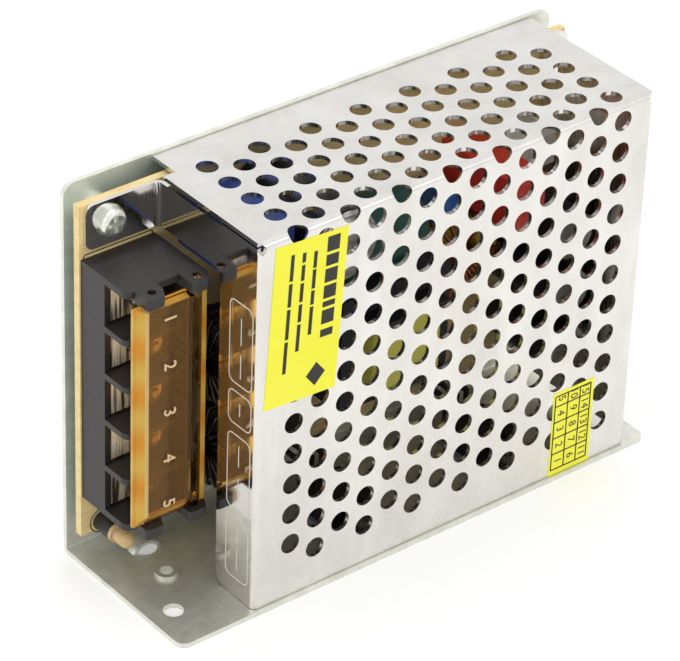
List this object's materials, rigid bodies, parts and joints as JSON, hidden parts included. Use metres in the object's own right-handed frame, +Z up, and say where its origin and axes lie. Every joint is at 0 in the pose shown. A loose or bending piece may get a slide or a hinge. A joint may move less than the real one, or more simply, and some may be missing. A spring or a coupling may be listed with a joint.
{
  "type": "power supply",
  "caption": "Switch-mode power supply in a perforated sheet cover, with a screw terminal block under a hinged clear lid and an L-shaped mounting chassis.",
  "frame": {"origin": "centre of the underside of the side flange it stands on", "axes": "+X along the length away from the terminals, +Y towards the mounting plate, +Z up"},
  "size_m": [0.11, 0.036, 0.078],
  "materials": {
    "chassis_sheet": "satin",
    "cover_sheet": "brushed",
    "yellow_label": "matt",
    "insulating_film": "matt",
    "board": "satin",
    "steel_screw": "plated",
    "black_plastic": "satin",
    "plated_brass": "plated",
    "clear_amber": "gloss",
    "lamp_lens": "gloss",
    "blue_plastic": "satin",
    "ferrite": "matt",
    "dark_winding": "gloss",
    "can_green": "sleeved",
    "can_black": "sleeved",
    "epoxy": "matt",
    "fuse_glass": "gloss",
    "nickel": "plated",
    "green_coating": "gloss",
    "blue_coating": "gloss",
    "bobbin_plastic": "matt",
    "yellow_tape": "gloss",
    "iron_powder": "painted",
    "copper_wire": "enamelled",
    "red_film": "gloss",
    "white_cement": "matt",
    "resistor_lacquer": "gloss",
    "silicone_pad": "matt",
    "trimmer_blue": "satin",
    "trimmer_white": "satin"
  },
  "bodies": {
    "body": {"chassis": "chassis_sheet", "cover": "cover_sheet", "caution_label": "yellow_label", "record_label": "yellow_label", "insulating_film": "insulating_film", "circuit_board": "board", "board_screws": "steel_screw", "terminal_block": "black_plastic", "terminal_trays": "plated_brass", "clamp_plates": "plated_brass", "lamp": "lamp_lens", "lamp_spacer": "black_plastic", "trimmer_body": "trimmer_blue", "line_capacitor": "blue_plastic", "upper_choke_core": "ferrite", "upper_choke_winding": "dark_winding", "lower_choke_core": "ferrite", "lower_choke_winding": "dark_winding", "input_capacitor": "can_black", "bulk_capacitor": "can_green", "bridge_rectifier": "epoxy", "fuse_glass": "fuse_glass", "fuse_caps": "nickel", "fuse_clips": "nickel", "thermistor": "green_coating", "safety_capacitor": "blue_coating", "controller_chip": "epoxy", "optocoupler": "epoxy", "transformer_core": "ferrite", "transformer_bobbin": "bobbin_plastic", "transformer_winding": "yellow_tape", "output_choke_core": "iron_powder", "output_choke_winding": "copper_wire", "output_capacitors": "can_black", "film_capacitor": "red_film", "load_resistor": "white_cement", "resistors": "resistor_lacquer", "insulating_pads": "silicone_pad", "power_switch": "epoxy", "output_rectifier": "epoxy", "package_screws": "steel_screw"},
    "terminal_screw_1": {"terminal_screw_1": "steel_screw"},
    "terminal_screw_2": {"terminal_screw_2": "steel_screw"},
    "terminal_screw_3": {"terminal_screw_3": "steel_screw"},
    "terminal_screw_4": {"terminal_screw_4": "steel_screw"},
    "terminal_screw_5": {"terminal_screw_5": "steel_screw"},
    "lid": {"terminal_lid": "clear_amber"},
    "trimmer": {"trimmer_rotor": "trimmer_white"}
  },
  "joints": [
    {"name": "lid_hinge", "type": "hinge", "parent": "body", "child": "lid", "pos_m": [-0.0414, -0.0029, 0.0404], "axis": [0, 0, 1], "range_deg": [0, 90]},
    {"name": "terminal_screw_1_turn", "type": "hinge", "parent": "body", "child": "terminal_screw_1", "pos_m": [-0.0468, 0.0052, 0.0598], "axis": [0, -1, 0], "continuous": true},
    {"name": "terminal_screw_2_turn", "type": "hinge", "parent": "body", "child": "terminal_screw_2", "pos_m": [-0.0468, 0.0052, 0.0501], "axis": [0, -1, 0], "continuous": true},
    {"name": "terminal_screw_3_turn", "type": "hinge", "parent": "body", "child": "terminal_screw_3", "pos_m": [-0.0468, 0.0052, 0.0404], "axis": [0, -1, 0], "continuous": true},
    {"name": "terminal_screw_4_turn", "type": "hinge", "parent": "body", "child": "terminal_screw_4", "pos_m": [-0.0468, 0.0052, 0.0307], "axis": [0, -1, 0], "continuous": true},
    {"name": "terminal_screw_5_turn", "type": "hinge", "parent": "body", "child": "terminal_screw_5", "pos_m": [-0.0468, 0.0052, 0.021], "axis": [0, -1, 0], "continuous": true},
    {"name": "trimmer_turn", "type": "hinge", "parent": "body", "child": "trimmer", "pos_m": [-0.0258, 0.0091, 0.0105], "axis": [-1, 0, 0], "range_deg": [-130, 130]}
  ]
}
